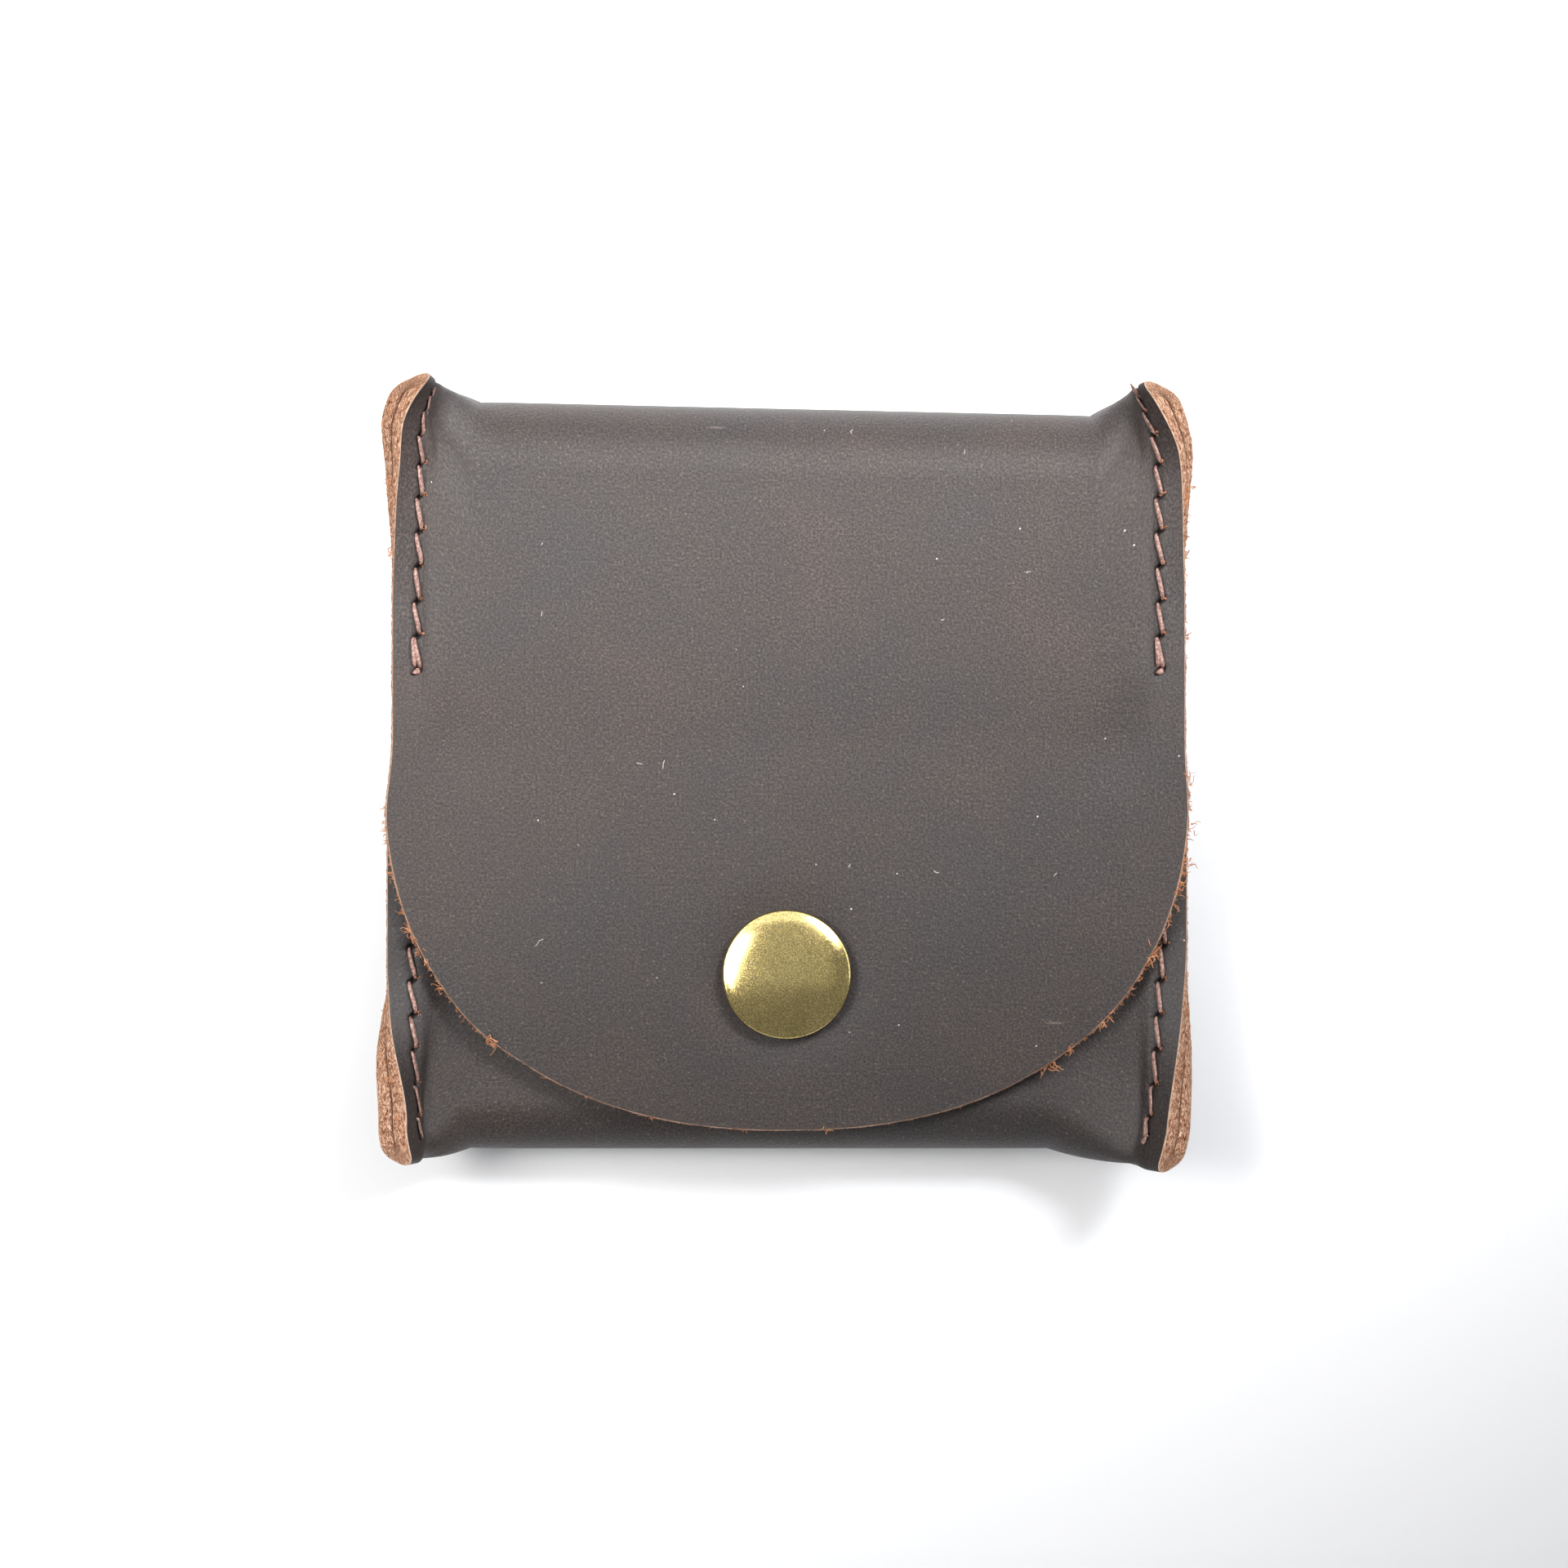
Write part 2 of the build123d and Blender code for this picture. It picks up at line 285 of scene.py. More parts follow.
def pits(x, y):
    """Depth of the awl slits and the thread's groove in a sewn panel, and the painted shade in them."""
    depth = np.zeros(np.broadcast(x, y).shape)
    shade = np.zeros(depth.shape)
    side = np.where(x < 0, -1.0, 1.0)
    dx = x - side * stitch_line(y, side)
    near = np.abs(dx) < 1.6
    for holes in (upper_holes, lower_holes):
        for hole in holes:
            dy = y - hole
            along = 0.78 * dx + 0.62 * dy
            across = 0.62 * dx - 0.78 * dy
            slit = np.exp(-((along / 0.66) ** 4) - (across / 0.2) ** 2)
            dent = np.exp(-(dx ** 2 + dy ** 2) / 0.7)
            depth = np.where(near, np.maximum(depth, 0.8 * slit) + 0.1 * dent, depth)
            shade = np.where(near, np.maximum(shade, slit), shade)
        low, high = min(holes), max(holes)
        inside = ease((y - low + 0.6) / 0.6) * ease((high + 0.6 - y) / 0.6)
        depth = depth + 0.1 * inside * np.exp(-((dx / 0.55) ** 2))
        shade = np.maximum(shade, 0.4 * inside * np.exp(-((dx / 0.5) ** 4)))
    return depth, shade


def make_mesh(name, points, faces, uvs=None, groups=None, materials=(), attributes=None):
    """A smooth mesh object from points in millimetres. The flat coordinates are kept in centimetres."""
    mesh = bpy.data.meshes.new(name)
    points = np.asarray(points, float) * MM
    faces = np.asarray(faces, np.int32)
    width = faces.shape[1]
    mesh.vertices.add(len(points))
    mesh.vertices.foreach_set("co", points.astype(np.float32).ravel())
    mesh.loops.add(faces.size)
    mesh.loops.foreach_set("vertex_index", faces.ravel())
    mesh.polygons.add(len(faces))
    mesh.polygons.foreach_set("loop_start", np.arange(0, faces.size, width, dtype=np.int32))
    for material in materials:
        mesh.materials.append(material)
    if groups is not None:
        mesh.polygons.foreach_set("material_index", np.asarray(groups, np.int32))
    mesh.polygons.foreach_set("use_smooth", np.full(len(faces), True))
    if uvs is not None:
        layer = mesh.uv_layers.new(name="Flat")
        corners = np.asarray(uvs, float)[faces.ravel()] / 10
        layer.data.foreach_set("uv", corners.astype(np.float32).ravel())
    for key, values in (attributes or {}).items():
        layer = mesh.attributes.new(key, "FLOAT", "POINT")
        layer.data.foreach_set("value", np.asarray(values, np.float32))
    mesh.update(calc_edges=True)
    mesh.validate()
    shown = bpy.data.objects.new(name, mesh)
    bpy.context.scene.collection.objects.link(shown)
    return shown


def grid_faces(rows, cols, offset=0, flip=False, closed=False):
    """Quads of a grid whose points are numbered row by row."""
    r = np.arange(rows - 1)[:, None]
    c = np.arange(cols if closed else cols - 1)[None, :]
    d = (c + 1) % cols
    quad = np.stack([r * cols + c, r * cols + d, (r + 1) * cols + d, (r + 1) * cols + c], axis=-1)
    quad = quad.reshape(-1, 4) + offset
    return quad[:, ::-1] if flip else quad


class Sheet:
    """Collects the grids of one piece of leather: grain side, flesh side and cut edges."""

    def __init__(self):
        self.points, self.faces, self.uvs, self.groups = [], [], [], []
        self.marks = {"pit": [], "rim": [], "depth": []}
        self.count = 0

    def add(self, grid, uv, group, flip, **marks):
        rows, cols = grid.shape[:2]
        self.points.append(grid.reshape(-1, 3))
        self.uvs.append(uv.reshape(-1, 2))
        quads = grid_faces(rows, cols, self.count, flip)
        self.faces.append(quads)
        self.groups.append(np.full(len(quads), group))
        for key, values in self.marks.items():
            values.append(np.ravel(marks.get(key, np.zeros(rows * cols))))
        self.count += rows * cols

    def build(self, name, materials):
        return make_mesh(
            name,
            settle(np.concatenate(self.points)),
            np.concatenate(self.faces),
            np.concatenate(self.uvs),
            np.concatenate(self.groups),
            materials,
            attributes={key: np.concatenate(values) for key, values in self.marks.items()},
        )


def cut_edge(outer, inner, away, lengths, seed, bevel=0.0, steps=9):
    """Rows across a cut edge from grain to flesh side, rough and a little rounded. away points outwards."""
    local = np.random.default_rng(seed)
    places = np.arange(0, lengths[-1] + 2, 0.5)
    rows = []
    depth = np.linspace(0, 1, steps + 1)
    for t in depth:
        round_off = 0.16 * (1 - (2 * t - 1) ** 4)
        coarse = np.interp(lengths, places, local.uniform(-1, 1, len(places))) * 0.11
        rough = (local.uniform(-1, 1, len(outer)) * 0.05 + coarse) * math.sin(math.pi * t) ** 0.5
        rows.append(outer * (1 - t) + inner * t + away * (round_off + bevel * t + rough)[:, None])
    grid = np.array(rows)
    uv = np.zeros(grid.shape[:2] + (2,))
    uv[..., 0] = depth[:, None] * leather + 60
    uv[..., 1] = lengths[None, :]
    return grid, uv, np.broadcast_to(depth[:, None], grid.shape[:2])


def node_setup(name):
    """An empty node material and helpers to add and join its nodes."""
    material = bpy.data.materials.new(name)
    material.use_nodes = True
    tree = material.node_tree
    tree.nodes.clear()

    def add(kind, inputs=None, **settings):
        node = tree.nodes.new(kind)
        for key, value in settings.items():
            setattr(node, key, value)
        for key, value in (inputs or {}).items():
            if isinstance(value, bpy.types.NodeSocket):
                tree.links.new(value, node.inputs[key])
            else:
                node.inputs[key].default_value = value
        return node

    return material, add


def ramp(add, value, stops):
    """A colour ramp fed by value. stops is a list of (place, colour)."""
    node = add("ShaderNodeValToRGB", {"Fac": value})
    while len(node.color_ramp.elements) < len(stops):
        node.color_ramp.elements.new(0.5)
    for element, (place, colour) in zip(node.color_ramp.elements, stops):
        element.position = place
        element.color = (*colour, 1) if len(colour) == 3 else colour
    return node.outputs["Color"]


def grey(value):
    return (value, value, value)


def mix(add, factor, first, second, blend="MIX"):
    """Two colours mixed by a factor, which may be a number or a socket."""
    node = add("ShaderNodeMix", {"Factor": factor}, data_type="RGBA", blend_type=blend)
    for name, value in (("A", first), ("B", second)):
        socket = [i for i in node.inputs if i.name == name and i.type == "RGBA"][0]
        if isinstance(value, bpy.types.NodeSocket):
            node.id_data.links.new(value, socket)
        else:
            socket.default_value = value
    return [o for o in node.outputs if o.type == "RGBA"][0]


def scaled(add, value, share):
    """A value multiplied by a constant."""
    return add("ShaderNodeMath", {0: value, 1: share}, operation="MULTIPLY").outputs["Value"]


def noise(add, vector, scale, detail, roughness=0.5, distortion=0.0):
    """Fractal noise, as a value from 0 to 1."""
    node = add("ShaderNodeTexNoise", {"Vector": vector, "Scale": scale, "Detail": detail})
    node.inputs["Roughness"].default_value = roughness
    node.inputs["Distortion"].default_value = distortion
    return node.outputs["Fac"]


def cells_of(add, vector, scale, feature="F1"):
    """Random cells. The node gives the distance to a cell's centre and a random colour per cell."""
    return add("ShaderNodeTexVoronoi", {"Vector": vector, "Scale": scale, "Randomness": 1.0}, feature=feature)


def bumped(add, height, strength, distance, normal=None):
    """Normals bent by a height, whose full range is a distance in metres."""
    inputs = {"Strength": strength, "Distance": distance, "Height": height}
    if normal is not None:
        inputs["Normal"] = normal
    return add("ShaderNodeBump", inputs).outputs["Normal"]


def surface(add, inputs):
    """The principled shader that gives a material its surface."""
    shader = add("ShaderNodeBsdfPrincipled", inputs)
    add("ShaderNodeOutputMaterial", {"Surface": shader.outputs["BSDF"]})


def spots(add, vector, scale, radius, share, seed):
    """Small round spots in some cells of a random pattern."""
    shifted = add("ShaderNodeMapping", {"Vector": vector, "Location": (seed, seed * 0.7, 0.0)})
    cells = cells_of(add, shifted.outputs["Vector"], scale)
    inside = ramp(add, cells.outputs["Distance"], [(radius * 0.55, grey(1.0)), (radius, grey(0.0))])
    chance = add("ShaderNodeSeparateColor", {"Color": cells.outputs["Color"]}).outputs["Red"]
    chosen = add("ShaderNodeMath", {0: chance, 1: 1 - share}, operation="GREATER_THAN").outputs["Value"]
    return add("ShaderNodeMath", {0: inside, 1: chosen}, operation="MULTIPLY").outputs["Value"]


def painted_shade_along_strip(add, flat):
    """Painted shade along the strip, in centimetres from the hinge: darkest at the pocket and the flap's end.
    """
    start, length = 22.0, 28.0
    along = add("ShaderNodeSeparateXYZ", {"Vector": flat}).outputs["Y"]
    along = add("ShaderNodeMath", {0: along, 1: start}, operation="ADD").outputs["Value"]
    pocket = [(0.0, grey(0.62)), (0.34, grey(0.66))]
    back = [(0.42, grey(0.85)), (0.78, grey(0.88))]
    flap_end = [(0.89, grey(0.74)), (1.0, grey(0.66))]
    return ramp(add, scaled(add, along, 1 / length), pocket + back + flap_end)


def grain_leather():
    """Dark pull-up leather: brown and slate clouds, fine pebbled grain, dust specks, light scratches and
    painted shade.
    """
    material, add = node_setup("grain_leather")
    flat = add("ShaderNodeUVMap", uv_map="Flat").outputs["UV"]
    cloud = noise(add, flat, 0.5, 5.0, 0.62, 0.4)
    slate = (0.034, 0.0285, 0.0275)
    plain = (0.041, 0.031, 0.0283)
    brown = (0.053, 0.037, 0.0315)
    colour = ramp(add, cloud, [(0.34, slate), (0.52, plain), (0.70, brown)])
    fine = noise(add, flat, 36.0, 3.0, 0.75)
    tone = ramp(add, fine, [(0.36, grey(0.35)), (0.5, grey(0.95)), (0.64, grey(1.9))])
    colour = mix(add, 1.0, colour, tone, "MULTIPLY")
    # painted shade: the leather is darkened towards the pocket and the flap's end
    colour = mix(add, 1.0, colour, painted_shade_along_strip(add, flat), "MULTIPLY")
    brown_spots = spots(add, flat, 15.0, 0.2, 0.5, 3.0)
    colour = mix(add, scaled(add, brown_spots, 0.45), colour, (0.15, 0.10, 0.072, 1))
    dark_spots = spots(add, flat, 9.0, 0.15, 0.4, 8.0)
    colour = mix(add, scaled(add, dark_spots, 0.6), colour, (0.016, 0.012, 0.011, 1))
    dust = spots(add, flat, 3.1, 0.036, 0.55, 5.0)
    colour = mix(add, scaled(add, dust, 0.9), colour, (0.62, 0.60, 0.57, 1))
    turned = add("ShaderNodeMapping", {"Vector": flat, "Rotation": (0, 0, 0.6), "Scale": (0.35, 2.6, 1.0)})
    streak = cells_of(add, turned.outputs["Vector"], 0.8)
    scratch = ramp(add, streak.outputs["Distance"], [(0.0, grey(0.5)), (0.045, grey(0.0))])
    colour = mix(add, scratch, colour, (0.28, 0.22, 0.19, 1))
    # painted shade: the awl slits and the thread's groove are darkened in the colour
    pit = add("ShaderNodeAttribute", attribute_name="pit").outputs["Fac"]
    colour = mix(add, pit, colour, (0.008, 0.005, 0.0045, 1))
    rim = add("ShaderNodeAttribute", attribute_name="rim").outputs["Fac"]
    colour = mix(add, rim, colour, (0.045, 0.028, 0.02, 1))
    pebbles = cells_of(add, flat, 27.0, "SMOOTH_F1")
    normal = bumped(add, pebbles.outputs["Distance"], 0.45, 0.0001)
    normal = bumped(add, fine, 0.5, 0.00012, normal)
    gloss = ramp(add, cloud, [(0.35, grey(0.5)), (0.7, grey(0.58))])
    surface(add, {"Base Color": colour, "Roughness": gloss, "Specular IOR Level": 0.42, "Normal": normal})
    return material


def flesh_leather():
    """The strip's inner face: brown suede."""
    material, add = node_setup("flesh_leather")
    flat = add("ShaderNodeUVMap", uv_map="Flat").outputs["UV"]
    nap = noise(add, flat, 30.0, 5.0, 0.75)
    colour = ramp(add, nap, [(0.3, (0.17, 0.085, 0.047)), (0.7, (0.33, 0.175, 0.10))])
    normal = bumped(add, nap, 0.5, 0.0003)
    dull = {"Roughness": 0.92, "Specular IOR Level": 0.15, "Sheen Weight": 0.3}
    surface(add, {"Base Color": colour, "Normal": normal, **dull})
    return material


def cut_leather():
    """Raw cut edge: tangled tan fibres, pale at the grain, a ragged dark line where two layers meet."""
    material, add = node_setup("cut_leather")
    flat = add("ShaderNodeUVMap", uv_map="Flat").outputs["UV"]
    stretch = add("ShaderNodeMapping", {"Vector": flat, "Scale": (1.7, 0.8, 1.0)})
    tangle = noise(add, stretch.outputs["Vector"], 25.0, 5.0, 0.8, 1.3)
    dark = [(0.40, (0.11, 0.035, 0.015)), (0.47, (0.36, 0.16, 0.088))]
    light = [(0.53, (0.58, 0.32, 0.20)), (0.60, (0.9, 0.64, 0.46))]
    colour = ramp(add, tangle, dark + light)
    depth = add("ShaderNodeAttribute", attribute_name="depth").outputs["Fac"]
    ragged = noise(add, flat, 7.0, 4.0, 0.7)
    shifted = add("ShaderNodeMath", {0: ragged, 1: 0.9, 2: depth}, operation="MULTIPLY_ADD").outputs["Value"]
    gap = ramp(add, scaled(add, shifted, 0.5), [(0.68, grey(0.0)), (0.77, grey(0.75))])
    colour = mix(add, gap, colour, (0.13, 0.045, 0.022, 1))
    pale = ramp(add, depth, [(0.0, grey(0.8)), (0.12, grey(0.0))])
    colour = mix(add, pale, colour, (0.72, 0.55, 0.43, 1))
    normal = bumped(add, tangle, 0.9, 0.0005)
    surface(add, {"Base Color": colour, "Roughness": 0.9, "Specular IOR Level": 0.15, "Normal": normal})
    return material


def loose_fibre():
    """Orange-brown fibres left by the cutting."""
    material, add = node_setup("loose_fibre")
    place = add("ShaderNodeTexCoord").outputs["Object"]
    colour = ramp(add, noise(add, place, 900.0, 2.0), [(0.3, (0.30, 0.11, 0.05)), (0.7, (0.66, 0.31, 0.15))])
    surface(add, {"Base Color": colour, "Roughness": 0.85, "Specular IOR Level": 0.2})
    return material


def pale_lint():
    """Pale cotton lint."""
    material, add = node_setup("pale_lint")
    place = add("ShaderNodeTexCoord").outputs["Object"]
    colour = ramp(add, noise(add, place, 1500.0, 2.0), [(0.3, (0.36, 0.33, 0.30)), (0.7, (0.62, 0.60, 0.57))])
    surface(add, {"Base Color": colour, "Roughness": 0.8, "Specular IOR Level": 0.2})
    return material


def waxed_thread():
    """Brown waxed thread with lighter and darker fibres."""
    material, add = node_setup("waxed_thread")
    place = add("ShaderNodeTexCoord").outputs["Object"]
    fibres = noise(add, place, 3200.0, 3.0, 0.6)
    stops = [(0.32, (0.12, 0.055, 0.042)), (0.5, (0.25, 0.14, 0.115)), (0.68, (0.46, 0.30, 0.25))]
    colour = ramp(add, fibres, stops)
    normal = bumped(add, fibres, 0.5, 0.0001)
    surface(add, {"Base Color": colour, "Roughness": 0.5, "Specular IOR Level": 0.5, "Normal": normal})
    return material


def satin_brass():
    """Satin antique brass with a fine sparkling grain."""
    material, add = node_setup("satin_brass")
    place = add("ShaderNodeTexCoord").outputs["Object"]
    sparkle = noise(add, place, 6500.0, 2.0, 0.7)
    cloud = noise(add, place, 260.0, 3.0)
    colour = ramp(add, cloud, [(0.35, (0.60, 0.475, 0.19)), (0.65, (0.68, 0.54, 0.225))])
    speckle = ramp(add, sparkle, [(0.38, grey(0.68)), (0.5, grey(0.95)), (0.64, grey(1.5))])
    colour = mix(add, 1.0, colour, speckle, "MULTIPLY")
    rough = ramp(add, cloud, [(0.35, grey(0.14)), (0.65, grey(0.17))])
    normal = bumped(add, sparkle, 0.2, 0.00003)
    surface(add, {"Base Color": colour, "Metallic": 1.0, "Roughness": rough, "Normal": normal})
    return material


def spring_steel():
    """Bright spring wire."""
    material, add = node_setup("spring_steel")
    place = add("ShaderNodeTexCoord").outputs["Object"]
    colour = ramp(add, noise(add, place, 3000.0, 2.0), [(0.3, (0.42, 0.40, 0.36)), (0.7, (0.55, 0.53, 0.49))])
    surface(add, {"Base Color": colour, "Metallic": 1.0, "Roughness": 0.3})
    return material


grain = grain_leather()
flesh = flesh_leather()
cut = cut_leather()
fibre = loose_fibre()
pale = pale_lint()
thread = waxed_thread()
brass = satin_brass()
steel = spring_steel()


def rim_shade(inwards):
    """1 at the cut edge of the grain side, fading inwards over the rim's width."""
    return np.clip(1 - inwards / rim_width, 0, 1)


def case_strip():
    """Pocket panel, bottom fold, back panel, top fold and upper front."""
    x = columns()
    points, lengths = strip_middle(x)
    n = normals_of(points)
    flat_x = np.broadcast_to(x, points.shape[:2])
    flat_v = np.broadcast_to((lengths - lengths[-1])[:, None], points.shape[:2])
    uv = np.stack([flat_x, flat_v], axis=-1)
    y = points[..., 1]
    dents, dark = pits(flat_x, y)
    outer = points + n * (half - dents[..., None])
    inner = points - n * half
    sheet = Sheet()
    rim = rim_shade(edge_x - np.abs(flat_x)) * 0.5
    sheet.add(outer, uv, 0, True, pit=dark, rim=rim)
    sheet.add(inner, uv + 200, 1, False)
    for side, column in ((-1, 0), (1, -1)):
        away = np.tile(np.array([side, 0.0, 0.0]), (len(points), 1))
        edge, edge_uv, depth = cut_edge(outer[:, column], inner[:, column], away, lengths, 11 + side)
        sheet.add(edge, edge_uv, 2, side > 0, depth=depth)
    away = np.tile(np.array([0.0, 1.0, 0.0]), (len(x), 1))
    edge, edge_uv, depth = cut_edge(outer[0], inner[0], away, x - x[0], 17)
    sheet.add(edge, edge_uv, 2, False, depth=depth)
    strip = sheet.build("case_strip", [grain, flesh, cut])
    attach(strip, "case")
    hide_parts("case_body")


def resample(line, shares):
    """Points of a plan line at shares of its length."""
    run = run_along(line)
    at = shares * run[-1]
    return np.stack([np.interp(at, run, line[:, 0]), np.interp(at, run, line[:, 1])], axis=-1)


def flap_outline():
    """Left side and lower part of the flap's outline. The right side mirrors the left."""
    depth = flap_centre_y - flap_low[1]
    width = (flap_high[0] - flap_low[0]) / 2
    angle = np.linspace(math.pi, 0, 4000)
    c, s = np.cos(angle), np.sin(angle)
    x = width * np.sign(c) * np.abs(c) ** (2 / flap_power)
    round_end = np.stack([x, flap_centre_y - depth * np.abs(s) ** (2 / flap_power)], axis=-1)
    corner = 0.235                      # share of the round end that counts as a side
    straight = np.stack([np.full(100, -width), np.linspace(split_y, flap_centre_y, 100)], axis=-1)[:-1]
    left = np.concatenate([straight, resample(round_end, np.linspace(0, corner, 400))])
    bottom = resample(round_end, np.linspace(corner, 1 - corner, 1000))
    return left, bottom


def flap_grid(x, rows):
    """The flap's plan as a grid: the first row crosses the case at the split, the others fan out below it."""
    left, bottom = flap_outline()
    t = np.concatenate([np.linspace(0, 0.06, 26)[:-1], np.linspace(0.06, 1, rows - 25)])
    left = resample(left, t)
    right = left * np.array([-1, 1])
    u = (x - x[0]) / (x[-1] - x[0])
    bottom = resample(bottom, u)
    top = np.stack([x, np.full(len(x), split_y)], axis=-1)
    tt, uu = t[:, None, None], u[None, :, None]
    grid = (1 - uu) * left[:, None] + uu * right[:, None] + (1 - tt) * top[None] + tt * bottom[None]
    grid -= (1 - tt) * ((1 - uu) * top[0] + uu * top[-1]) + tt * ((1 - uu) * bottom[0] + uu * bottom[-1])
    return grid


def edge_line(grid):
    """The left side, last row and right side of a grid, as one line."""
    return np.concatenate([grid[:, 0], grid[-1, 1:], grid[-2::-1, -1]])


def flap_leather():
    """The upper front below the split and the flap, in one sheet across the hinge line."""
    x = columns()
    plan = flap_grid(x, 170)
    px, py = plan[..., 0], plan[..., 1]
    points = np.stack([px, py, flap_height(px, py)], axis=-1)
    n = normals_of(points)
    dents, dark = pits(px, py)
    sewn = ease((py - 10.4) / 0.4)
    outer = points + n * (half - (dents * sewn)[..., None])
    inner = points - n * half
    uv = np.stack([px, split_y - py], axis=-1)
    sheet = Sheet()
    far = 9.0
    distance = np.full(px.shape, far)
    band = 3                            # grid lines beside the cut edge that the rim can reach
    for r in range(px.shape[0]):
        distance[r, :band + 1] = np.linalg.norm(plan[r, :band + 1] - plan[r, 0], axis=-1)
        distance[r, -band - 1:] = np.linalg.norm(plan[r, -band - 1:] - plan[r, -1], axis=-1)
    for r in range(1, band + 2):
        distance[-r] = np.minimum(distance[-r], np.linalg.norm(plan[-r] - plan[-1], axis=-1))
    sheet.add(outer, uv, 0, True, pit=dark * sewn, rim=rim_shade(distance) * 0.5)
    sheet.add(inner, uv + 200, 1, False)
    loop = edge_line(plan)
    tangent = np.gradient(loop, axis=0)
    away = np.stack([tangent[:, 1], -tangent[:, 0], np.zeros(len(loop))], axis=-1)
    away = -away / np.linalg.norm(away, axis=1, keepdims=True)
    away = np.where((np.sum(away[:, :2] * loop, axis=1) > 0)[:, None], away, -away)
    edge, edge_uv, depth = cut_edge(edge_line(outer), edge_line(inner), away, run_along(loop), 23, 0.1)
    sheet.add(edge, edge_uv, 2, False, depth=depth)
    flap = sheet.build("flap_leather", [grain, flesh, cut])
    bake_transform(flap)
    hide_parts("flap")
    return loop, away[:, :2]


def tube(path, radii, sides=10, lobes=0, twist=0.0, depth=0.0):
    """Points and quads of a closed tube along a path, with optional twisted strands."""
    path = np.asarray(path, float)
    count = len(path)
    tangent = np.gradient(path, axis=0)
    tangent /= np.linalg.norm(tangent, axis=1, keepdims=True)
    up = np.array([0.0, 0.0, 1.0])
    if abs(tangent[0] @ up) > 0.9:
        up = np.array([1.0, 0.0, 0.0])
    first = np.cross(tangent, up)
    first /= np.linalg.norm(first, axis=1, keepdims=True)
    second = np.cross(first, tangent)
    run = run_along(path)
    angle = np.linspace(0, math.tau, sides, endpoint=False)
    rings = []
    for i in range(count):
        strand = np.ones(sides)
        if lobes:
            strand = 1 + depth * np.abs(np.cos((angle * lobes - run[i] * twist) / 2)) - depth
        r = radii[i] * strand
        rings.append(path[i] + np.outer(r * np.cos(angle), first[i]) + np.outer(r * np.sin(angle), second[i]))
    points = np.concatenate(rings + [path[:1], path[-1:]])
    quads = grid_faces(count, sides, 0, False, closed=True)
    head, tail = count * sides, count * sides + 1
    k = np.arange(0, sides, 2)
    start = np.stack([np.full(len(k), head), (k + 2) % sides, (k + 1) % sides, k], axis=-1)
    base = (count - 1) * sides
    end = np.stack([np.full(len(k), tail), base + k, base + (k + 1) % sides, base + (k + 2) % sides], axis=-1)
    return points, np.concatenate([quads, start, end])


def join_parts(parts):
    """One list of points and faces from several."""
    points, faces, count = [], [], 0
    for p, f in parts:
        points.append(p)
        faces.append(f + count)
        count += len(p)
    return np.concatenate(points), np.concatenate(faces)


def stitch(side, y0, y1, face, lean=0.3, bulge=0.13, offset=0.0, thick=0.255):
    """One slanted thread segment between two slits, on the front (face 1) or the back (face -1)."""
    t = np.linspace(0, 1, 30)
    y = y0 + (y1 - y0) * (0.06 + 0.88 * t)
    x = side * stitch_line(y, side) + offset + lean * np.sin((t - 0.5) * 2.6)
    sink = np.exp(-t / 0.075) + np.exp(-(1 - t) / 0.075)
    z = seam_z + face * (leather + layer_gap / 2 + bulge - 0.62 * sink)
    radii = thick * (1 + 0.12 * np.sin(math.pi * t) - 0.45 * sink)
    return tube(np.stack([x, y, z], axis=-1), radii, 16, 5, 2.6, 0.13)


def seam_thread(side, holes, name, double):
    """All the thread of one seam. Some ends are back-stitched and melted to a small knot."""
    parts = []
    for y0, y1 in zip(holes[:-1], holes[1:]):
        top, low = max(y0, y1), min(y0, y1)
        for face in (1, -1):
            wander = rng.uniform(-0.05, 0.05)
            lean = rng.uniform(0.25, 0.37)
            parts.append(stitch(side, top, low, face, lean, rng.uniform(0.1, 0.19), wander))
    for end in double:
        first = holes[0] if end == 0 else holes[-1]
        second = holes[1] if end == 0 else holes[-2]
        toward = np.sign(second - first)
        parts.append(stitch(side, max(first, second), min(first, second) + 0.2, 1, 0.1, 0.26, -0.36, 0.26))
        t = np.linspace(0, 1, 9)
        x = side * stitch_line(first, side) - 0.12 + 0.25 * np.sin(t * 5)
        knot = np.stack([x, first - toward * (0.5 * t - 0.1), np.full(9, seam_z + leather + 0.2)], axis=-1)
        parts.append(tube(knot, 0.30 * np.sin(math.pi * (0.15 + 0.7 * t)) + 0.05, 12))
    points, faces = join_parts(parts)
    piece = make_mesh(name, settle(points), faces, materials=[thread])
    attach(piece, "case")
    return piece


def threads():
    """The four seams. On the right side both ends of a seam are back-stitched, on the left only one."""
    for side, word in ((-1, "left"), (1, "right")):
        upper = seam_thread(side, upper_holes, "thread_upper_" + word, (0, 1) if side > 0 else (0,))
        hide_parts("seam_thread_upper_" + word)
        lower = seam_thread(side, lower_holes, "thread_lower_" + word, (0, 1) if side > 0 else (0,))
        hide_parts("seam_thread_lower_" + word)


def curl(local, start, heading, length, wander):
    """A short wandering hair from start towards heading."""
    points = [np.array(start, float)]
    way = np.array(heading, float)
    bends = 6
    for _ in range(bends):
        way = way / np.linalg.norm(way) + local.normal(0, wander, 3)
        points.append(points[-1] + way / np.linalg.norm(way) * length / bends)
    return points


